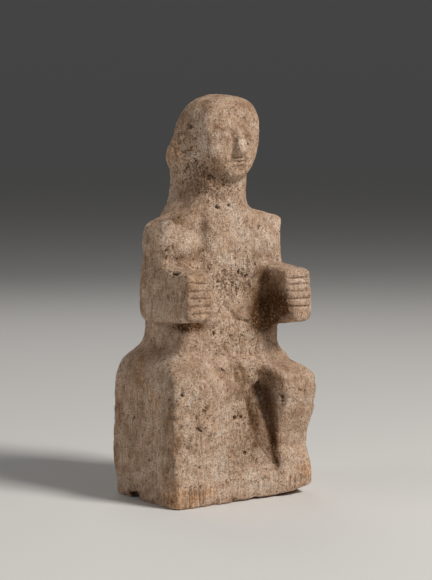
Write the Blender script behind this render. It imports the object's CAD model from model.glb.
"""Seated stone figure: weathered limestone on a pale floor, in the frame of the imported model.

Metres, +Z up; the figure faces -Y, so its right hand is on the -X side. What is said of the stone
is in millimetres. A place is x, front and height, where front is a distance ahead of the mid
plane, so a front of 20 is y = -20 mm.
"""

import math
from itertools import product

import bpy
import numpy as np
from mathutils import Matrix, Vector
from mathutils.bvhtree import BVHTree
from mathutils.kdtree import KDTree


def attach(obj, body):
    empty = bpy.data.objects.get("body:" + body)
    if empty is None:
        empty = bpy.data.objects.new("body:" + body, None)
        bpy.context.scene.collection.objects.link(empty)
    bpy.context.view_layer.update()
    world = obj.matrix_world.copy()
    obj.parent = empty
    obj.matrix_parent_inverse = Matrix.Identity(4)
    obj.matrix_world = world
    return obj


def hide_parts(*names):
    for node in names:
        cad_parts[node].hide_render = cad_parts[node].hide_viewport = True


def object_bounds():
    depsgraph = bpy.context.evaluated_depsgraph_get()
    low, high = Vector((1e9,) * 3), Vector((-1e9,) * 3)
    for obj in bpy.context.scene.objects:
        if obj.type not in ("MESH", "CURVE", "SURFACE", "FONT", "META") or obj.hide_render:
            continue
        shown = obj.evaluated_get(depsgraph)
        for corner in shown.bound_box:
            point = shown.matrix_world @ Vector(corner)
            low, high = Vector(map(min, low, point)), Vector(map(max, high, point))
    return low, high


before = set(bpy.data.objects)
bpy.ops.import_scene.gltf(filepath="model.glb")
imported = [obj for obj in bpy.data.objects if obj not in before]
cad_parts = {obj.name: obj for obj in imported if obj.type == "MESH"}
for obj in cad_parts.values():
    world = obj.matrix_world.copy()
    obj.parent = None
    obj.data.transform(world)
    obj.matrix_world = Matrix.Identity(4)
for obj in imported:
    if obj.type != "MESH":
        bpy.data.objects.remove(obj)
cad_low, cad_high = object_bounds()

MM = 0.001
NODE = "seated_figure"

# The stone's fine mesh: cell size, rounds that smooth the solid's facets, and triangles kept
CELL = 0.6
FACET_ROUNDS = 9
CARVED_ROUNDS = 4
TRIANGLES = 190000

# Where the carving is fine, so that it is smoothed less, as centre and reach: the face, both
# fists, the toes, the chip in the block's lower edge, and the two front corners; and how fast
# they count in full
CARVED_PLACES = [
    ((0, 30, 238), (26, 16, 30)),
    ((-40, 42, 137), (14, 9, 20)),
    ((40, 42, 137), (14, 9, 20)),
    ((0, 40, 6), (60, 14, 14)),
    ((-56, -13, 3), (9, 12, 9)),
    ((-56, 36, 45), (6, 8, 50)),
    ((55, 38, 45), (6, 10, 50)),
]
CARVED_GAIN = 2

# The cuts between the fingers: heights on each fist, how far they run, the fists' front, and
# each hand's width and height of cut, where below zero is a groove
RIGHT_FINGERS, RIGHT_FIST = (147.2, 142.0, 137.0, 132.3, 127.4), (-51, -31)
LEFT_FINGERS, LEFT_FIST = (147.6, 143.4, 138.8, 133.6, 128.4), (28, 51)
FIST_FRONT = 42.5
RIGHT_CUT, LEFT_CUT = (0.65, -0.8), (0.55, -0.35)

# The cuts between the toes and the scratches beside them: x and front of each, from what
# height to what height they run, and their width and height
TOES = [
    (34.5, 40.2), (38.5, 40.2), (42.5, 40.2), (46.5, 39.5),
    (-45.5, 37.0), (-41.5, 37.0), (-37.5, 37.0), (-51.0, 33.0),
]
TOE_RUN, TOE_CUT = (0, 14), (0.8, -1.2)
SCRATCHES = [(36.5, 40.2), (40.6, 40.2), (-35.0, 37.0), (-39.6, 37.0), (-43.4, 37.0), (-48.4, 36.0)]
SCRATCH_RUN, SCRATCH = (3, 11), (0.65, -0.9)

# Shallow relief left on the body: course, width and height, where below zero is a groove
RELIEF = [
    # beside the right breast, and under it
    ([(-19, 14, 188), (-19, 15, 178), (-19, 16, 166)], 2.4, -1.0),
    ([(-39, 14, 160), (-32, 15, 160), (-25, 15, 162), (-20, 14, 167)], 1.8, -0.7),
    # the two slanting ridges on the belly, each with a groove below it
    ([(-14, 20, 124), (-10, 19, 129), (-6, 18, 133.5), (-3, 18, 134)], 1.1, 1.0),
    ([(-3, 18, 134), (0, 19, 129), (4, 20, 124), (12, 20, 120.5)], 1.1, 1.0),
    ([(-12.5, 20, 123), (-8.5, 19, 128), (-5, 18, 131)], 1.3, -1.1),
    ([(-5, 18, 131), (-2, 19, 127), (3, 20, 121.5), (12, 20, 118)], 1.3, -1.1),
    # under the right forearm
    ([(-48, 28, 118.5), (-38, 22, 117), (-27, 20, 117)], 1.8, -0.9),
    # the broken surface of the belly
    ([(25.5, 18, 153), (26.5, 18, 148), (25, 18, 143)], 1.3, -1.9),
    ([(22, 18, 156), (23.5, 18, 152)], 1.1, -1.3),
    ([(21, 18, 147), (20.5, 18, 142)], 1.0, -1.1),
    ([(9, 18, 150), (12, 18, 146)], 1.3, -1.3),
    ([(5, 18, 146), (5.5, 18, 142)], 1.7, 1.1),
    ([(15, 18, 146), (18, 18, 150)], 1.6, 0.9),
    ([(-3, 18, 139), (3, 18, 137)], 2.0, 0.7),
    # the hollow beside the left shin: its upper end, its rim, its slope and its foot
    ([(12, 21, 79), (22, 20, 79)], 4.0, 2.6),
    ([(10, 31, 88), (24, 32, 88)], 4.0, -1.2),
    ([(7, 28, 70), (6.5, 28.3, 56), (11, 29.3, 41), (17, 30.5, 30), (25, 33.5, 22)], 1.3, 1.0),
    ([(8, 26.5, 68), (10, 26.7, 56), (14, 28, 42), (20, 29.5, 30), (26, 32, 23)], 1.1, -0.9),
    ([(15, 22.4, 66), (15.5, 25.2, 52), (20, 26.6, 40), (25, 28.6, 30)], 1.0, -1.0),
    ([(19, 21.5, 60), (20.5, 24.6, 48), (24, 26.6, 38)], 1.0, -0.9),
    ([(13, 24.5, 64), (13, 26, 50), (18, 27.3, 38)], 1.0, 0.5),
    ([(24, 30, 31), (28, 34, 21)], 1.2, -1.2),
    # the ledge under the feet, the robe's edge and the block's front corner
    ([(4, 36.5, 14), (16, 35.5, 17), (26, 35.5, 20)], 1.4, -0.6),
    ([(-4, 37, 11), (10, 36.5, 13), (22, 36.5, 15)], 1.3, -0.5),
    ([(-20, 36, 12), (-20, 36, 30)], 1.2, -0.5),
    ([(-56, 36, 18), (-56, 36, 50), (-56, 35, 80)], 2.2, 0.7),
    # beside the left breast, and under it
    ([(23, 16, 186), (23, 16, 174), (24, 16, 163)], 1.5, -0.6),
    ([(24, 16, 163), (30, 15, 160), (38, 14, 161)], 1.6, -0.8),
    # knocks in the right forearm's top and the left shoulder's edge
    ([(-49, 22, 154.5), (-48, 28, 154)], 1.4, -1.3),
    ([(51, 10, 183), (51, 12, 179)], 1.8, -0.8),
]

# The head leans about its centre; the face's own marks are placed before it does, and each
# stands for both sides. In order: upper lid, lower lid, brow, wing of the nose, mouth
HEAD_CENTRE = (0, 0, 236)
HEAD_LEAN = 3
EYE, EYE_LINE, BROWS, MOUTH = 9.0, 242.0, 246.7, 224.9
HALF_EYE, HALF_MOUTH = 4.9, 6.6
FACE_RELIEF = [
    ([(EYE - HALF_EYE, 29, EYE_LINE - 0.4), (EYE - 2, 29, EYE_LINE + 2.9),
      (EYE + 2, 28, EYE_LINE + 2.9), (EYE + HALF_EYE, 26, EYE_LINE - 0.2)], 0.8, 0.65),
    ([(EYE - HALF_EYE, 29, EYE_LINE - 0.6), (EYE, 29, EYE_LINE - 3.0),
      (EYE + HALF_EYE, 26, EYE_LINE - 0.4)], 0.8, 0.35),
    ([(3.4, 30, BROWS - 0.6), (8, 29, BROWS + 2.3), (13, 27, BROWS + 1.9), (17, 24, BROWS - 0.8)],
     1.5, 0.7),
    ([(4.8, 31, 230.6), (5.6, 29.5, 232.6)], 0.7, -0.6),
    ([(0, 29, MOUTH + 0.1), (HALF_MOUTH, 27.5, MOUTH + 0.2)], 0.55, -0.8),
]

# The face wears less than the rest: its centre and reach, and the share of wear it is spared
FACE_PLACE = ((0, 30, 236), (20, 10, 26))
FACE_SPARED = 0.7

# Knocks and holes: place, radius and depth
HOLES = [
    # head and neck
    ((-26, 8, 250), 3.6, 1.6),
    # shoulders and chest
    ((-10, 17, 195), 1.6, 1.8), ((-1, 19, 196), 1.6, 1.8), ((13, 18, 183), 2.2, 1.2),
    ((-39, 9, 187), 1.4, 1.3), ((-35, 8, 189), 1.2, 1.1), ((-47, 12, 167), 1.3, 1.2),
    ((-46, 11, 163), 1.2, 1.0), ((-31, 17, 160), 1.4, 0.8), ((-43, 12, 175), 1.2, 0.7),
    ((51, 11, 187), 2.0, 0.8),
    # forearms and fists
    ((-49, 23.5, 154), 2.4, 2.2), ((-48.5, 27.5, 154), 2.6, 2.4), ((-50, 38, 152), 1.2, 1.0),
    ((50, 41, 150), 2.6, 0.9), ((29, 43, 150), 2.0, 0.9), ((29, 43, 139), 1.6, 0.8),
    ((32, 43, 128), 2.2, 0.8), ((-31, 43, 126), 2.2, 0.8), ((-52, 43, 133), 2.2, 0.8),
    # belly and waist
    ((2, 19, 146), 1.5, 1.0), ((22, 17, 156), 1.6, 1.2), ((13, 18, 148), 1.5, 1.3),
    ((-4, 18, 151.5), 2.2, 1.3), ((7, 18, 151), 1.5, 1.6), ((16, 18, 142), 2.2, 1.2),
    ((-15, 20, 111), 1.3, 1.2), ((12, 19, 140), 2.4, 1.0), ((-9, 18, 146), 1.8, 1.0),
    ((14, 18, 155), 1.6, 0.9),
    # lap and knees
    ((2, 31, 81), 1.2, 1.1), ((-14, 29, 89), 1.3, 1.4),
    # legs and robe
    ((29.5, 36.5, 68), 1.4, 1.4), ((29.5, 37, 64.5), 1.2, 1.3), ((5, 30.5, 71), 1.3, 1.2),
    ((-51, 37, 75), 1.6, 2.0), ((-34, 36, 63), 1.2, 1.3), ((-32, 36, 65), 1.0, 0.9),
    ((-6, 32, 56), 1.8, 1.9), ((0, 32, 55.5), 1.5, 1.7), ((-2, 32, 58), 1.4, 0.9),
    ((-39, 35, 52), 1.4, 1.7), ((-37, 35, 51), 1.5, 1.9), ((-35, 35, 50), 1.2, 1.4),
    ((-5, 32, 32), 1.0, 0.8), ((3, 32, 32), 1.6, 1.5), ((-37, 36, 26), 1.2, 1.1),
    ((-46, 34, 40), 1.8, 0.9), ((-48, 34, 43), 1.4, 0.8), ((-43, 34, 41), 1.2, 0.7),
    ((55, 36, 64), 3.0, 0.9), ((55, 34, 40), 2.6, 0.8), ((56, 38, 24), 2.6, 0.9),
    # the hollow beside the left shin, and its rim
    ((9, 26.5, 63), 1.6, 1.2),
    # the block's right side and its front corner
    ((-56, -13, 55), 1.4, 1.3), ((-56, 5, 29), 1.4, 1.3), ((-53, 35, 46), 2.4, 0.8),
    ((-56, 36, 12), 3.0, 0.8), ((-56, 36, 27), 2.4, 0.8), ((-56, 36, 38), 2.8, 0.9),
    ((-56, 36, 58), 2.6, 0.8), ((-56, 35, 68), 2.4, 0.8), ((-56, -15, 0), 4.6, 2.2),
    ((-53, -14, -1), 5.6, 2.2),
    # feet and ledge
    ((-24, 36, 1), 3.0, 1.0), ((-10, 37, 1), 2.4, 0.9), ((8, 37, 2), 3.4, 1.0),
]

# Above 1, so that every hole has a flat floor
HOLE_FLOOR = 1.25

# Holes at least this deep, and no wider than this many times their depth, are drawn dark over
# this share of their radius as well; side faces start this far out
CRISP_DEPTH, CRISP_WIDTH, CRISP_SHARE, SIDE_FACE = 1.15, 1.5, 0.62, 54

# Where the surface is most eaten away: centre, reach and how much
ROUGH_PLACES = [
    ((-16, 12, 213), (18, 16, 11), 1.0),
    ((-4, 16, 206), (22, 14, 8), 0.4),
    ((6, 18, 146), (24, 14, 13), 1.0),
    ((-36, 15, 160), (14, 14, 7), 0.7),
    ((-25, 0, 230), (14, 20, 16), 0.7),
    ((8, 30, 66), (13, 14, 36), 0.9),
    ((2, 21, 110), (40, 12, 8), 0.4),
    ((-44, 36, 60), (14, 10, 26), 0.3),
]

# How rough plain stone is, by how much and in what lumps that changes, and the least and the
# most roughness anywhere
PLAIN_ROUGHNESS, ROUGHNESS_CHANGE, ROUGHNESS_LUMP = 0.35, 0.25, 20
LEAST_ROUGH, MOST_ROUGH = 0.1, 1.3

# Wear. Lumps: size, height on sound stone, what roughness to a power adds, and seed
LUMPS = [(24, 0.30, 0.0, 1, 1), (7, 0.14, 0.55, 2, 2), (4.2, 0.05, 0.38, 1, 3), (2.2, 0.05, 0.24, 1, 4)]

# Upright tool lines: height, size along each axis and seed
TOOL_LINES = [(0.09, (1.5, 1.5, 13), 6), (0.06, (3.1, 3.1, 30), 7)]

# Pits: depth, spacing, least and greatest reach, share of cells that have one, and seed; a power
# below 1 makes their walls steep
PITS = [(1.3, 5.5, (0.7, 1.7), 0.22, 8), (0.8, 3.0, (0.5, 1.0), 0.30, 9)]
PIT_POWER = 0.6

# Chips on outer edges: depth, how sharp an edge has to be to take the full depth, the rounds of
# smoothing that show how sharp an edge is, and two noises of weight, size and seed
CHIP_DEPTH, SHARP_EDGE, EDGE_ROUNDS = 1.6, 0.3, 30
CHIP_NOISES = [(1, 4.5, 10), (0.35, 1.9, 11)]

# How far marks, holes and pits are pushed about, so that they are uneven: lump size, amount, seed
UNEVEN_MARKS = (4, 0.8, 40)
UNEVEN_HOLES = [(1.4, 0.45, 53), (3.0, 1.1, 50)]
UNEVEN_PITS = (2.0, 0.5, 60)

# Stains: centre, reach and strength, where below zero is cleaner stone; the pale ones are a
# thin whitish crust
SOOT = [
    # forearms and fists
    ((28, 32, 125), (6, 16, 12), 1.3), ((27, 40, 124), (4, 6, 11), 0.9),
    ((29, 34, 138), (4, 14, 12), 0.3), ((-34, 22, 117), (15, 16, 4.0), 1.6),
    ((29, 24, 118), (8, 10, 4), 0.6),
    # belly and waist
    ((21, 20, 124), (7.5, 8, 12), 1.3), ((24, 18, 150), (3, 6, 6), 0.6),
    ((26, 20, 115), (9, 8, 5), 0.9), ((26, 17, 154), (4, 6, 4), -0.7),
    # the hollow beside the left shin, and its rim
    ((18, 18, 73), (9, 9, 7), 0.9), ((27.5, 26, 60), (3, 7, 18), 0.65),
    ((28, 30, 34), (2.5, 4, 10), 0.9), ((17, 25, 85), (13, 10, 7), -1.3),
    ((10, 26, 60), (5, 7, 11), 0.7), ((14, 27.5, 46), (5, 6, 10), 0.65),
    ((22, 29, 34), (4, 5, 9), 0.55), ((28.5, 34, 75), (3, 7, 9), -0.8),
    ((27, 33, 24), (2.5, 4, 5), 0.9), ((19, 22, 60), (4, 6, 6), 0.55),
    ((18, 25.5, 50), (4, 6, 6), 0.5), ((18, 28, 41), (4, 5, 5), 0.2),
    ((9, 27, 59), (2.5, 4, 9), 0.4), ((24, 25, 82), (7, 9, 6), -0.8),
    ((27, 28, 36), (3, 5, 9), 0.35),
    # the block's right side and its front corner
    ((-55, -14, 0), (7, 6, 4.5), 1.4),
]
BROWN_STAINS = [
    # head and neck
    ((-16, 14, 214), (18, 14, 9), 1.0),
    # shoulders and chest
    ((-35, 9, 186), (15, 13, 7.5), 1.25), ((-52, 0, 181), (5, 16, 10), 0.4),
    ((-19, 15, 178), (3, 6, 10), 0.75), ((26, 16, 161), (12, 8, 3), 0.8),
    ((-45, 12, 165), (4, 6, 5), 0.7), ((-56, 0, 165), (8, 26, 22), 0.15),
    ((4, 16, 180), (34, 12, 18), 0.2), ((-34, 12, 161), (10, 8, 3), 0.5),
    # forearms and fists
    ((24, 24, 138), (8, 12, 14), 0.9), ((-41, 43, 137), (11, 6, 13), 0.3),
    # belly and waist
    ((12, 18, 146), (18, 10, 9), 0.7), ((-42, 10, 104), (12, 14, 8), 0.5),
    ((18, 18, 134), (8, 10, 12), 0.5), ((24, 18, 149), (3.5, 6, 7), 0.9),
    # lap and knees
    ((2, 30, 82), (7, 10, 13), 1.0), ((-3, 30, 85), (2, 6, 7), 1.6), ((3, 29, 85), (2, 6, 9), 1.8),
    ((-46, 29, 92), (14, 9, 7), 0.65), ((-43, 36, 80), (12, 6, 9), 0.4),
    ((0, 30, 88), (20, 12, 5), 0.2),
    # legs and robe
    ((5.5, 30, 72), (2, 6, 6), 1.6), ((30, 38, 67), (3, 4, 3), 0.9),
    ((-4, 31, 66), (8, 8, 10), 0.6), ((-38, 36, 52), (5, 6, 4), 0.7),
    ((-48, 35, 43), (8, 6, 4), 0.8), ((-5, 32, 32), (14, 8, 12), 0.5),
    # the hollow beside the left shin, and its rim
    ((26, 30, 80), (6, 8, 6), 0.9), ((14, 28, 50), (10, 12, 34), 0.6),
    ((20, 24, 66), (12, 9, 26), 0.6), ((7, 28, 65), (1.8, 4, 6), 1.4),
    ((8, 28, 55), (1.6, 4, 5), 1.3), ((12, 28.5, 42), (1.6, 4, 5), 1.0),
    ((8, 31, 36), (12, 8, 5), 0.7),
    # the block's right side and its front corner
    ((-56, -14, 36), (5, 6, 7), 0.8), ((-56, -6, 81), (5, 10, 9), 0.7),
    ((-56, -6, 47), (5, 7, 6), 0.7), ((-56, -25, 42), (5, 8, 7), 0.8),
    ((-56, 3, 30), (5, 6, 5), 0.7), ((-56, -17, 13), (5, 8, 5), 0.6),
    ((-56, 12, 4), (8, 30, 5), 0.5), ((-56, 29, 62), (5, 8, 42), 1.1),
]
RED_STAINS = [
    # head and neck
    ((-27, -9, 232), (6, 10, 8), 0.9),
    # forearms and fists
    ((-46, 43, 147), (5, 6, 5), 0.9), ((-36, 44, 142), (5, 5, 4), 0.5),
    # the block's right side and its front corner
    ((-54, -13, 93), (6, 8, 5), 0.5), ((-55, -5, 82), (6, 9, 8), 0.8),
    ((-56, 13, 69), (6, 7, 7), 0.7), ((-56, 29, 6), (6, 8, 8), 1.3),
    ((-56, 35, 40), (3, 5, 6), 0.7),
    # feet and ledge
    ((-47, 37, 7), (11, 8, 8), 1.3), ((-30, 37, 10), (6, 6, 4), 0.6),
    ((41, 40, 11), (10, 8, 6), 0.8), ((51, 40, 16), (6, 8, 8), 0.8),
]
PALE_STAINS = [
    # shoulders and chest
    ((4, 18, 185), (12, 10, 13), 0.6), ((-32, 16, 170), (8, 8, 7), 0.3),
    # belly and waist
    ((4, 19, 144), (4, 8, 4), 1.0), ((16, 18, 150), (6, 8, 5), 0.6),
    ((-6, 19, 124), (10, 8, 10), 0.4),
    # lap and knees
    ((-30, 36, 80), (12, 8, 8), 0.35), ((-2, 30, 92), (30, 14, 8), 0.5),
    # legs and robe
    ((-45, 36, 60), (9, 8, 16), 0.5), ((-18, 34, 30), (14, 8, 14), 0.7),
    ((-20, 35, 44), (10, 8, 8), 0.4), ((36, 40, 60), (8, 8, 12), 0.3),
    # the hollow beside the left shin, and its rim
    ((16, 27.5, 42), (2.5, 5, 7), 0.6),
    # feet and ledge
    ((-2, 37, 10), (24, 8, 8), 0.7),
]

# How ragged the stains are: their mean strength, two noises of weight, size and seed that change
# it, the most it can be, and the part of the soot that isn't changed
STAIN_MEAN, STAIN_MOST = 0.75, 1.4
STAIN_NOISES = [(0.6, 6, 30), (0.35, 2.4, 31)]
EVEN_SOOT = 0.8

# How open each point is to the air: how many points are looked at and the seed that chooses them,
# rays from each, their reach, how far off the stone they start, how squarely a ray has to leave
# it, how many neighbours are averaged, the share below which dirt has stayed, and how fast it
# builds up below that
OPEN_POINTS, OPEN_SEED = 9000, 20
OPEN_RAYS, OPEN_REACH = 48, 60
OPEN_START, GRAZING = 1.5, 0.1
OPEN_NEIGHBOURS = 4
OPEN_ENOUGH, SHUT_GROWTH = 0.62, 1.9

# The depth below the stone smoothed by this many rounds is kept under each name
DEPTHS = {"pit": 4, "crevice": 60}

# Patterns in the stone: size, detail, stretch along each axis, and seed
EVEN = (1, 1, 1)
PATTERNS = {
    "patches": (30, 5, EVEN, 0),
    "mottle": (7, 6, EVEN, 3),
    "grain": (1.15, 3, EVEN, 5),
    "flecks": (1.9, 3, EVEN, 7),
    "tooling": (1.1, 3, (1, 1, 11), 9),
    "scraps": (2.6, 3, (1, 1, 1.5), 15),
    "stripes": (1.6, 2, (1, 1, 8), 17),
    "scuffs": (1.9, 3, EVEN, 21),
}
NOISE_ROUGHNESS = 0.6

# The stone's colour at each level of patches and mottle together, the mottle's share in that
# level, and how far a pale crust raises it
STONE_RAMP = [
    (0.38, (0.35, 0.208, 0.132)),
    (0.46, (0.50, 0.335, 0.226)),
    (0.54, (0.60, 0.428, 0.312)),
    (0.63, (0.69, 0.54, 0.43)),
]
MOTTLE_SHARE, PALE_RISE = 0.5, 0.13

# What each pattern multiplies the colour by at each of its levels, where the scuffs multiply only
# the soot; and how much the tooling shows
GRAIN_RAMP = [(0.34, 0.30), (0.43, 0.76), (0.52, 1.03), (0.64, 1.50)]
TOOLING_RAMP = [(0.36, 0.78), (0.50, 1.0), (0.64, 1.12)]
STRIPES_RAMP = [(0.40, 0.48), (0.48, 0.95), (0.58, 1.5)]
SCUFFS_RAMP = [(0.52, 1.0), (0.62, 0.62)]
TOOLING_SHARE = 0.8

# On sound stone, and what roughness adds: how much the grain shows, the levels below which
# flecks are drawn as pores and scraps as flaked stone, and the share of cells that have a dot
GRAIN_SHARE = (0.52, 0.42)
PORES_BELOW = (0.352, 0.085)
SCRAPS_BELOW = (0.415, 0.06)
DOT_CHANCE = (0.06, 0.21)

# Dots: spacing, radius and seed; how fast they grow, and how hard the edges of pores, scraps,
# dots and crisp holes are
DOTS = [(2.4, 1.0, 11), (1.35, 0.65, 13)]
DOT_GROWTH = 2.2
PORE_EDGE, SCRAP_EDGE, DOT_EDGE, HOLE_EDGE = 22.0, 14.0, 12.0, 3000.0
SCRAP_SHARE = 0.55

# Stains, scraps and soot keep this share of the grain, and have these colours and strengths
SCRAP_GRAIN, STAIN_GRAIN, SOOT_GRAIN = 0.9, 0.8, 0.95
SCRAP_COLOUR = (0.27, 0.165, 0.095)
RED_COLOUR, RED_STRENGTH = (0.60, 0.33, 0.175), 0.68
BROWN_COLOUR, BROWN_STRENGTH = (0.24, 0.14, 0.075), 0.75
SOOT_COLOUR, SOOT_STRENGTH = (0.10, 0.042, 0.013), 0.98

# What lies proud is paler, and what lies deep is darker: colour and strength of each, and the
# most that the pale one shows
PROUD_COLOUR, PROUD_STRENGTH, PROUD_MOST = (0.72, 0.58, 0.45), -2.2, 0.38
PIT_COLOUR, PIT_STRENGTH = (0.11, 0.062, 0.034), 3.4
CREVICE_COLOUR, CREVICE_STRENGTH = (0.17, 0.092, 0.045), 0.4
PORE_COLOUR, SOOTY_PORE_COLOUR = (0.15, 0.085, 0.045), (0.025, 0.012, 0.005)
HOLE_COLOUR = (0.06, 0.032, 0.018)

# The outline of the crisp holes is pushed about: lump size and amount; and how much the way
# into the stone counts when their distance is taken
CRISP_BEND = (2.0, 0.8)
INTO_STONE = 0.3

# The finish, and the bump's depth with what tooling, pores and scraps add to the grain's
DULLNESS, SHEEN = 0.93, 0.25
BUMP_DEPTH = 1.1
TOOLING_BUMP, PORE_BUMP, SCRAP_BUMP = 0.5, -0.5, -0.35

# The camera: degrees round the figure and above it, distance in metres, lens, and the point it
# looks at
CAMERA_AZIMUTH, CAMERA_ELEVATION = -35, 4.5
CAMERA_DISTANCE = 1.1475
CAMERA_LENS = 105.5
CAMERA_AIM = (0.0007, -0.0005, 0.1384)

# The lights: name, degrees round the figure and above it, distance and size in metres, power and
# colour; and the point they look at
LIGHTS = [
    ("key", 20, 42, 2.2, 0.51, 42.0, (1, 0.97, 0.93)),
    ("fill", -108, 18, 1.5, 0.8, 3.6, (1, 0.98, 0.96)),
    ("back", 160, 40, 1.6, 0.8, 3.0, (1, 0.98, 0.96)),
]
LIT_POINT = (0, 0, 0.13)

# The floor, and how bright the sky is at the horizon and overhead
FLOOR_SIZE, FLOOR_COLOUR, FLOOR_DULLNESS = 60, (0.78, 0.77, 0.75), 0.9
HORIZON, OVERHEAD = 0.056, 0.080

NOISE_CELLS = 64


def place(x, front, height):
    return np.array((x, -front, height), float)


def noise(points, size, seed):
    """Smooth noise from -1 to 1 with lumps of about this size; size may differ by axis."""
    table = np.random.default_rng(seed).uniform(-1, 1, (NOISE_CELLS,) * 3)
    grid = points / size
    cell = np.floor(grid).astype(int)
    part = grid - cell
    part = part * part * (3 - 2 * part)
    total = np.zeros(len(points))
    for corner in product((0, 1), repeat=3):
        share = np.prod(np.where(corner, part, 1 - part), axis=1)
        i, j, k = ((cell + corner) % NOISE_CELLS).T
        total += share * table[i, j, k]
    return total


def warped(points, size, amount, seed):
    """The points pushed about by noise, so that what is drawn with them is uneven."""
    return points + amount * np.stack([noise(points, size, seed + k) for k in range(3)], axis=1)


def pits(points, spacing, reach, chance, seed):
    """From 0 to 1 at the middle of pits, one in a share of cells of this spacing."""
    cell = np.floor(points / spacing).astype(int)
    rng = np.random.default_rng(seed)
    shape = (NOISE_CELLS,) * 3
    centres = rng.uniform(0, 1, (*shape, 3))
    sizes = rng.uniform(*reach, shape)
    sizes[rng.uniform(0, 1, shape) > chance] = 0
    deepest = np.zeros(len(points))
    for step in product((-1, 0, 1), repeat=3):
        near = cell + step
        i, j, k = (near % NOISE_CELLS).T
        size = sizes[i, j, k]
        some = np.flatnonzero(size)
        middle = (near[some] + centres[i[some], j[some], k[some]]) * spacing
        away = np.linalg.norm(points[some] - middle, axis=1) / size[some]
        deepest[some] = np.maximum(deepest[some], np.clip(1 - away, 0, 1))
    return deepest


def near_place(points, centre, reach):
    """1 at a place, fading to nearly 0 well beyond its reach."""
    away = (points - place(*centre)) / reach
    return np.exp(-((away * away).sum(axis=1)))


def spread(points, places):
    """The strengths of all the places, added up."""
    total = np.zeros(len(points))
    for centre, reach, strength in places:
        total += strength * near_place(points, centre, reach)
    return total


def stroke(points, course, width, height):
    """The height of a ridge, or the depth of a groove, that runs along a course of places."""
    nearest = np.full(len(points), np.inf)
    for start, end in zip(course, course[1:]):
        start, end = place(*start), place(*end)
        line = end - start
        share = np.clip((points - start) @ line / (line @ line), 0, 1)
        away = np.linalg.norm(points - start - share[:, None] * line, axis=1)
        nearest = np.minimum(nearest, away)
    return height * np.exp(-((nearest / width) ** 2))


def points_of(obj):
    points = np.empty(len(obj.data.vertices) * 3, np.float32)
    obj.data.vertices.foreach_get("co", points)
    return points.reshape(-1, 3).astype(float) / MM


def normals_of(obj):
    normals = np.empty(len(obj.data.vertices) * 3, np.float32)
    obj.data.vertex_normals.foreach_get("vector", normals)
    return normals.reshape(-1, 3).astype(float)


def put_points(obj, points):
    obj.data.vertices.foreach_set("co", (points * MM).astype(np.float32).ravel())
    obj.data.update()


def apply_modifiers(obj):
    graph = bpy.context.evaluated_depsgraph_get()
    graph.update()
    mesh = bpy.data.meshes.new_from_object(obj.evaluated_get(graph))
    obj.modifiers.clear()
    obj.data = mesh


def smoothed(obj, rounds):
    """Where the points of obj would be after this many rounds of smoothing."""
    copy = bpy.data.objects.new("smoothed", obj.data.copy())
    bpy.context.scene.collection.objects.link(copy)
    smooth = copy.modifiers.new("smooth", "SMOOTH")
    smooth.iterations = rounds
    apply_modifiers(copy)
    points = points_of(copy)
    bpy.data.objects.remove(copy)
    return points


def fine_stone():
    """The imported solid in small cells, with its facets smoothed away."""
    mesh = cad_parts[NODE].data.copy()
    mesh.materials.clear()
    stone = bpy.data.objects.new("carved_stone", mesh)
    bpy.context.scene.collection.objects.link(stone)
    remesh = stone.modifiers.new("cells", "REMESH")
    remesh.mode = "VOXEL"
    remesh.voxel_size = CELL * MM
    apply_modifiers(stone)
    soft, crisp = smoothed(stone, FACET_ROUNDS), smoothed(stone, CARVED_ROUNDS)
    carved = np.zeros(len(soft))
    for centre, reach in CARVED_PLACES:
        carved = np.maximum(carved, near_place(soft, centre, reach))
    carved = np.clip(CARVED_GAIN * carved, 0, 1)[:, None]
    put_points(stone, soft * (1 - carved) + crisp * carved)
    return stone


def hand_marks(points):
    """The cuts between fingers and toes, and the shallow relief on the body."""
    uneven = warped(points, *UNEVEN_MARKS)
    depth = np.zeros(len(points))
    fists = ((RIGHT_FINGERS, RIGHT_FIST, RIGHT_CUT), (LEFT_FINGERS, LEFT_FIST, LEFT_CUT))
    for heights, (left, right), cut in fists:
        for height in heights:
            course = [(left, FIST_FRONT, height), (right, FIST_FRONT, height)]
            depth += stroke(uneven, course, *cut)
    for marks, (foot, top), cut in ((TOES, TOE_RUN, TOE_CUT), (SCRATCHES, SCRATCH_RUN, SCRATCH)):
        for x, front in marks:
            depth += stroke(uneven, [(x, front, foot), (x, front, top)], *cut)
    for course, width, height in RELIEF:
        depth += stroke(uneven, course, width, height)
    return depth


def face_marks(points):
    """Eyelids, brows, the wings of the nose and the line of the mouth, alike on both sides."""
    lean = np.array(Matrix.Rotation(math.radians(-HEAD_LEAN), 3, "Y"))
    upright = (points - place(*HEAD_CENTRE)) @ lean + place(*HEAD_CENTRE)
    upright[:, 0] = np.abs(upright[:, 0])
    return sum(stroke(upright, *mark) for mark in FACE_RELIEF)


def holes(points):
    uneven = points
    for bend in UNEVEN_HOLES:
        uneven = warped(uneven, *bend)
    depth = np.zeros(len(points))
    for centre, radius, deep in HOLES:
        away = np.linalg.norm(uneven - place(*centre), axis=1) / radius
        depth -= deep * np.clip(HOLE_FLOOR - away * away, 0, 1)
    return depth


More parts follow.
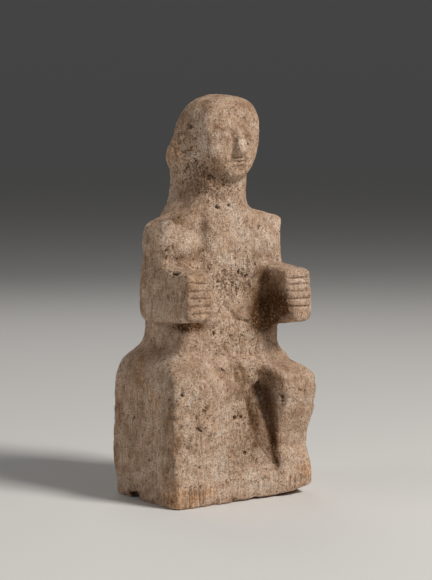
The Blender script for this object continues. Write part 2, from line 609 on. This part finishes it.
def wear(points, normals, sharpness):
    """How far time has moved the surface; sharpness is above 0 on outer edges."""
    rough = PLAIN_ROUGHNESS + spread(points, ROUGH_PLACES)
    rough += ROUGHNESS_CHANGE * noise(points, ROUGHNESS_LUMP, seed=5)
    rough = np.clip(rough, LEAST_ROUGH, MOST_ROUGH)
    depth = np.zeros(len(points))
    for size, sound, extra, power, seed in LUMPS:
        depth += (sound + extra * rough**power) * noise(points, size, seed)
    upright = 1 - np.abs(normals[:, 2])
    for height, size, seed in TOOL_LINES:
        depth += height * upright * noise(points, size, seed)
    uneven = warped(points, *UNEVEN_PITS)
    for deep, spacing, reach, chance, seed in PITS:
        depth -= deep * rough * pits(uneven, spacing, reach, chance, seed) ** PIT_POWER
    chips = sum(weight * noise(points, size, seed) for weight, size, seed in CHIP_NOISES)
    depth -= CHIP_DEPTH * np.clip(sharpness / SHARP_EDGE, 0, 1) * np.clip(chips, 0, 1)
    return depth


def weathered(stone):
    points, normals = points_of(stone), normals_of(stone)
    sharpness = -((smoothed(stone, EDGE_ROUNDS) - points) * normals).sum(axis=1)
    depth = hand_marks(points) + face_marks(points) + holes(points)
    on_face = near_place(points, *FACE_PLACE)
    depth += (1 - FACE_SPARED * on_face) * wear(points, normals, sharpness)
    put_points(stone, points + normals * depth[:, None])


def fewer_triangles(stone):
    reduce = stone.modifiers.new("reduce", "DECIMATE")
    reduce.ratio = min(1, TRIANGLES / (2 * len(stone.data.polygons)))
    apply_modifiers(stone)


def keep_inside(stone):
    low, high = (np.array(corner) / MM for corner in (cad_low, cad_high))
    put_points(stone, np.clip(points_of(stone), low, high))


def add_attribute(stone, name, values):
    layer = stone.data.attributes.new(name, "FLOAT", "POINT")
    layer.data.foreach_set("value", values.astype(np.float32))


def directions(count):
    """Directions spread evenly over a ball."""
    k = np.arange(count) + 0.5
    turn = k * math.pi * (3 - math.sqrt(5))
    height = 1 - 2 * k / count
    across = np.sqrt(1 - height * height)
    return np.stack([across * np.cos(turn), across * np.sin(turn), height], axis=1)


def share_open(tree, rays, point, normal):
    """The share of the rays out from a point that no other stone stops, square ones most."""
    start = Vector((point + OPEN_START * normal) * MM)
    square = rays @ normal
    total = blocked = 0.0
    for ray in np.flatnonzero(square > GRAZING):
        total += square[ray]
        if tree.ray_cast(start, Vector(rays[ray]), OPEN_REACH * MM)[0]:
            blocked += square[ray]
    return 1 - blocked / total


def openness(points, normals):
    """How open each point is to the air, from some points that are looked at closely."""
    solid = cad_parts[NODE].data
    corners = [vertex.co for vertex in solid.vertices]
    tree = BVHTree.FromPolygons(corners, [polygon.vertices for polygon in solid.polygons])
    rng = np.random.default_rng(OPEN_SEED)
    chosen = rng.choice(len(points), min(OPEN_POINTS, len(points)), False)
    rays = directions(OPEN_RAYS)
    seen = np.empty(len(chosen))
    found = KDTree(len(chosen))
    for index, point in enumerate(chosen):
        seen[index] = share_open(tree, rays, points[point], normals[point])
        found.insert(Vector(points[point]), index)
    found.balance()
    spread_out = np.empty(len(points))
    for index, point in enumerate(points):
        near = [other for _, other, _ in found.find_n(Vector(point), OPEN_NEIGHBOURS)]
        spread_out[index] = seen[near].mean()
    return spread_out


def mark_surface(stone):
    """What the material reads at each point: how deep it lies, how open, how rough and stained."""
    points, normals = points_of(stone), normals_of(stone)
    for name, rounds in DEPTHS.items():
        hidden = ((smoothed(stone, rounds) - points) * normals).sum(axis=1)
        add_attribute(stone, name, hidden)
    ragged = np.full(len(points), STAIN_MEAN)
    for weight, size, seed in STAIN_NOISES:
        ragged += weight * noise(points, size, seed)
    ragged = np.clip(ragged, 0, STAIN_MOST)
    shut = np.clip(SHUT_GROWTH * (OPEN_ENOUGH - openness(points, normals)), 0, 1)
    sooty = EVEN_SOOT + (1 - EVEN_SOOT) * ragged
    add_attribute(stone, "soot", shut + sooty * spread(points, SOOT))
    add_attribute(stone, "rough", spread(points, ROUGH_PLACES))
    add_attribute(stone, "brown", ragged * spread(points, BROWN_STAINS))
    add_attribute(stone, "red", ragged * spread(points, RED_STAINS))
    add_attribute(stone, "pale", ragged * spread(points, PALE_STAINS))


class Shader:
    """A material, with short ways to add nodes to it."""

    def __init__(self, name):
        self.material = bpy.data.materials.new(name)
        self.material.use_nodes = True
        self.nodes = self.material.node_tree.nodes
        self.surface = self.nodes["Principled BSDF"]

    def put(self, value, socket):
        """Links a socket to another's value, or sets it to a number, a colour or a Vector."""
        if isinstance(value, bpy.types.NodeSocket):
            self.material.node_tree.links.new(value, socket)
        elif isinstance(value, tuple):
            socket.default_value = (*value, 1)
        else:
            socket.default_value = value

    def math(self, operation, *values, clamp=False):
        made = self.nodes.new("ShaderNodeMath")
        made.operation = operation
        made.use_clamp = clamp
        for socket, value in zip(made.inputs, values):
            self.put(value, socket)
        return made.outputs[0]

    def vector(self, operation, *values, output="Vector"):
        made = self.nodes.new("ShaderNodeVectorMath")
        made.operation = operation
        for socket, value in zip(made.inputs, values):
            self.put(value, socket)
        return made.outputs[output]

    def mix(self, share, one, other, blend="MIX"):
        made = self.nodes.new("ShaderNodeMix")
        made.data_type = "RGBA"
        made.blend_type = blend
        for socket, value in zip((made.inputs[0], made.inputs[6], made.inputs[7]), (share, one, other)):
            self.put(value, socket)
        return made.outputs[2]

    def ramp(self, value, stops):
        ramp = self.nodes.new("ShaderNodeValToRGB")
        while len(ramp.color_ramp.elements) < len(stops):
            ramp.color_ramp.elements.new(0.5)
        for element, (at, colour) in zip(ramp.color_ramp.elements, stops):
            element.position = at
            element.color = (*colour, 1)
        self.put(value, ramp.inputs["Fac"])
        return ramp.outputs["Color"]

    def grey_ramp(self, value, stops):
        return self.ramp(value, [(at, (grey, grey, grey)) for at, grey in stops])

    def attribute(self, name):
        read = self.nodes.new("ShaderNodeAttribute")
        read.attribute_name = name
        return read.outputs["Fac"]

    def stain(self, name, strength):
        """An attribute times a strength, kept between 0 and 1."""
        return self.math("MULTIPLY", self.attribute(name), strength, clamp=True)

    def by_roughness(self, rough, sound, extra, clamp=False):
        return self.math("MULTIPLY_ADD", rough, extra, sound, clamp=clamp)

    def counted(self, where, size, stretch=EVEN, seed=0):
        """The place counted in lumps of this size, and moved along by the seed."""
        mapping = self.nodes.new("ShaderNodeMapping")
        mapping.inputs["Scale"].default_value = [1 / (size * MM * s) for s in stretch]
        mapping.inputs["Location"].default_value = (seed, seed, seed)
        self.put(where, mapping.inputs["Vector"])
        return mapping.outputs["Vector"]

    def pattern(self, where, name):
        size, detail, stretch, seed = PATTERNS[name]
        texture = self.nodes.new("ShaderNodeTexNoise")
        texture.inputs["Scale"].default_value = 1
        texture.inputs["Detail"].default_value = detail
        texture.inputs["Roughness"].default_value = NOISE_ROUGHNESS
        self.put(self.counted(where, size, stretch, seed), texture.inputs["Vector"])
        return texture.outputs["Fac"]

    def bent(self, where, size, amount):
        """The place moved about by noise of this size, whose colour is 0.5 where nothing moves."""
        texture = self.nodes.new("ShaderNodeTexNoise")
        texture.inputs["Scale"].default_value = 1
        self.put(self.counted(where, size), texture.inputs["Vector"])
        change = self.vector("SUBTRACT", texture.outputs["Color"], Vector((0.5, 0.5, 0.5)))
        change = self.vector("MULTIPLY", change, Vector((2 * amount * MM,) * 3))
        return self.vector("ADD", change, where)

    def dots(self, where, spacing, radius, chance, seed):
        """Near 1 inside round dots of up to this radius, one in a share of cells of this spacing."""
        cells = self.nodes.new("ShaderNodeTexVoronoi")
        cells.inputs["Scale"].default_value = 1
        self.put(self.counted(where, spacing, seed=seed), cells.inputs["Vector"])
        split = self.nodes.new("ShaderNodeSeparateColor")
        self.put(cells.outputs["Color"], split.inputs["Color"])
        reach = self.math("SUBTRACT", split.outputs[0], self.math("SUBTRACT", 1.0, chance))
        reach = self.math("MULTIPLY", reach, DOT_GROWTH, clamp=True)
        reach = self.math("MULTIPLY", reach, radius / spacing)
        inside = self.math("SUBTRACT", reach, cells.outputs["Distance"])
        return self.math("MULTIPLY", inside, DOT_EDGE, clamp=True)

    def spot(self, where, centre, radius):
        """Near 1 inside a hole; the way into the stone counts for little."""
        into_side, into_front = (INTO_STONE, 1, 1), (1, INTO_STONE, 1)
        counts = Vector(into_side if abs(centre[0]) > SIDE_FACE else into_front)
        away = self.vector("SUBTRACT", where, Vector(place(*centre)) * MM)
        away = self.vector("MULTIPLY", away, counts)
        length = self.vector("LENGTH", away, output="Value")
        inside = self.math("SUBTRACT", radius * MM, length)
        return self.math("MULTIPLY", inside, HOLE_EDGE, clamp=True)


def plain_stone(shader, where, rough, speckle, tooling):
    """The colour of the stone itself: patches and mottle, grain, and upright tool lines."""
    level = shader.math("MULTIPLY", shader.pattern(where, "patches"), 1 - MOTTLE_SHARE)
    level = shader.math("MULTIPLY_ADD", shader.pattern(where, "mottle"), MOTTLE_SHARE, level)
    level = shader.math("MULTIPLY_ADD", shader.attribute("pale"), PALE_RISE, level)
    colour = shader.ramp(level, STONE_RAMP)
    share = shader.by_roughness(rough, *GRAIN_SHARE, clamp=True)
    colour = shader.mix(share, colour, speckle, "MULTIPLY")
    return shader.mix(TOOLING_SHARE, colour, shader.grey_ramp(tooling, TOOLING_RAMP), "MULTIPLY")


def stone_scraps(shader, where, rough):
    """Where small scraps of the surface have flaked away."""
    below = shader.by_roughness(rough, *SCRAPS_BELOW)
    scraps = shader.math("SUBTRACT", below, shader.pattern(where, "scraps"))
    return shader.math("MULTIPLY", scraps, SCRAP_EDGE, clamp=True)


def stone_pores(shader, where, rough):
    """Where the stone has small dark pores, ragged ones and round ones."""
    below = shader.by_roughness(rough, *PORES_BELOW)
    pores = shader.math("SUBTRACT", below, shader.pattern(where, "flecks"))
    pores = shader.math("MULTIPLY", pores, PORE_EDGE, clamp=True)
    chance = shader.by_roughness(rough, *DOT_CHANCE)
    for spacing, radius, seed in DOTS:
        pores = shader.math("MAXIMUM", pores, shader.dots(where, spacing, radius, chance, seed))
    return pores


def stained(shader, where, colour, speckle):
    """Red-brown stains with upright stripes, then brown ones."""
    red = shader.stain("red", RED_STRENGTH)
    colour = shader.mix(red, colour, shader.mix(STAIN_GRAIN, RED_COLOUR, speckle, "MULTIPLY"))
    stripes = shader.grey_ramp(shader.pattern(where, "stripes"), STRIPES_RAMP)
    colour = shader.mix(red, colour, stripes, "MULTIPLY")
    brown = shader.stain("brown", BROWN_STRENGTH)
    return shader.mix(brown, colour, shader.mix(STAIN_GRAIN, BROWN_COLOUR, speckle, "MULTIPLY"))


def shaded_by_depth(shader, colour):
    """Paler where the stone stands proud, darker in pits and crevices."""
    proud = shader.math("MULTIPLY", shader.stain("pit", PROUD_STRENGTH), PROUD_MOST)
    colour = shader.mix(proud, colour, PROUD_COLOUR)
    colour = shader.mix(shader.stain("pit", PIT_STRENGTH), colour, PIT_COLOUR)
    return shader.mix(shader.stain("crevice", CREVICE_STRENGTH), colour, CREVICE_COLOUR)


def sooted(shader, where, colour, speckle, pores):
    """Dark dirt, scuffed off in small places."""
    scuffs = shader.grey_ramp(shader.pattern(where, "scuffs"), SCUFFS_RAMP)
    soot = shader.math("MULTIPLY", shader.stain("soot", SOOT_STRENGTH), scuffs)
    sooty = shader.mix(SOOT_GRAIN, SOOT_COLOUR, speckle, "MULTIPLY")
    sooty = shader.mix(pores, sooty, SOOTY_PORE_COLOUR)
    return shader.mix(soot, colour, sooty)


def with_crisp_holes(shader, where, colour):
    """The deeper holes, drawn dark."""
    uneven = shader.bent(where, *CRISP_BEND)
    spots = 0.0
    for centre, radius, deep in HOLES:
        if deep >= CRISP_DEPTH and radius <= deep * CRISP_WIDTH:
            spots = shader.math("MAXIMUM", spots, shader.spot(uneven, centre, CRISP_SHARE * radius))
    return shader.mix(spots, colour, HOLE_COLOUR)


def add_bump(shader, height):
    bump = shader.nodes.new("ShaderNodeBump")
    bump.inputs["Strength"].default_value = 1.0
    bump.inputs["Distance"].default_value = BUMP_DEPTH * MM
    shader.put(height, bump.inputs["Height"])
    shader.put(bump.outputs["Normal"], shader.surface.inputs["Normal"])


def limestone():
    shader = Shader("limestone")
    where = shader.nodes.new("ShaderNodeTexCoord").outputs["Object"]
    rough = shader.attribute("rough")
    grain, tooling = shader.pattern(where, "grain"), shader.pattern(where, "tooling")
    speckle = shader.grey_ramp(grain, GRAIN_RAMP)
    scraps, pores = stone_scraps(shader, where, rough), stone_pores(shader, where, rough)

    colour = plain_stone(shader, where, rough, speckle, tooling)
    worn = shader.mix(SCRAP_GRAIN, SCRAP_COLOUR, speckle, "MULTIPLY")
    colour = shader.mix(shader.math("MULTIPLY", scraps, SCRAP_SHARE), colour, worn)
    colour = shader.mix(pores, colour, PORE_COLOUR)
    colour = stained(shader, where, colour, speckle)
    colour = shaded_by_depth(shader, colour)
    colour = sooted(shader, where, colour, speckle, pores)
    colour = with_crisp_holes(shader, where, colour)
    shader.put(colour, shader.surface.inputs["Base Color"])
    shader.put(DULLNESS, shader.surface.inputs["Roughness"])
    shader.put(SHEEN, shader.surface.inputs["Specular IOR Level"])

    height = grain
    for pattern, rise in ((tooling, TOOLING_BUMP), (pores, PORE_BUMP), (scraps, SCRAP_BUMP)):
        height = shader.math("MULTIPLY_ADD", pattern, rise, height)
    add_bump(shader, height)
    return shader.material


def facing(azimuth, elevation):
    """A direction out from the figure, at this turn round it and rise above it in degrees."""
    azimuth, elevation = math.radians(azimuth), math.radians(elevation)
    level = math.cos(elevation)
    return Vector((math.sin(azimuth) * level, -math.cos(azimuth) * level, math.sin(elevation)))


def stand(obj, aim, back, distance):
    """Puts a camera or a light at a distance back from the point that it looks at."""
    obj.location = Vector(aim) + back * distance
    obj.rotation_euler = back.to_track_quat("Z", "Y").to_euler()
    bpy.context.scene.collection.objects.link(obj)


def add_camera():
    data = bpy.data.cameras.new("camera")
    data.lens = CAMERA_LENS
    camera = bpy.data.objects.new("camera", data)
    stand(camera, CAMERA_AIM, facing(CAMERA_AZIMUTH, CAMERA_ELEVATION), CAMERA_DISTANCE)
    bpy.context.scene.camera = camera


def add_light(name, azimuth, elevation, distance, size, power, colour):
    """A square soft light that looks at the middle of the figure."""
    data = bpy.data.lights.new(name, "AREA")
    data.size = size
    data.energy = power
    data.color = colour
    light = bpy.data.objects.new(name, data)
    stand(light, LIT_POINT, facing(azimuth, elevation), distance)


def add_floor():
    bpy.ops.mesh.primitive_plane_add(size=FLOOR_SIZE)
    floor = bpy.context.object
    floor.name = "floor"
    finish = Shader("floor")
    finish.put(FLOOR_COLOUR, finish.surface.inputs["Base Color"])
    finish.put(FLOOR_DULLNESS, finish.surface.inputs["Roughness"])
    floor.data.materials.append(finish.material)


def add_sky():
    """A dim sky that is a little brighter overhead than at the horizon."""
    world = bpy.data.worlds.new("studio")
    bpy.context.scene.world = world
    world.use_nodes = True
    nodes, links = world.node_tree.nodes, world.node_tree.links
    height = nodes.new("ShaderNodeSeparateXYZ")
    links.new(nodes.new("ShaderNodeTexCoord").outputs["Generated"], height.inputs[0])
    fade = nodes.new("ShaderNodeValToRGB")
    for element, grey in zip(fade.color_ramp.elements, (HORIZON, OVERHEAD)):
        element.color = (grey, grey, grey, 1)
    links.new(height.outputs["Z"], fade.inputs["Fac"])
    links.new(fade.outputs["Color"], nodes["Background"].inputs["Color"])


def add_studio():
    add_floor()
    add_sky()
    for light in LIGHTS:
        add_light(*light)
    bpy.context.scene.view_settings.view_transform = "Standard"


stone = fine_stone()
weathered(stone)
fewer_triangles(stone)
keep_inside(stone)
mark_surface(stone)
stone.data.materials.append(limestone())
for polygon in stone.data.polygons:
    polygon.use_smooth = True
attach(stone, "root")
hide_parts(NODE)
add_camera()
add_studio()
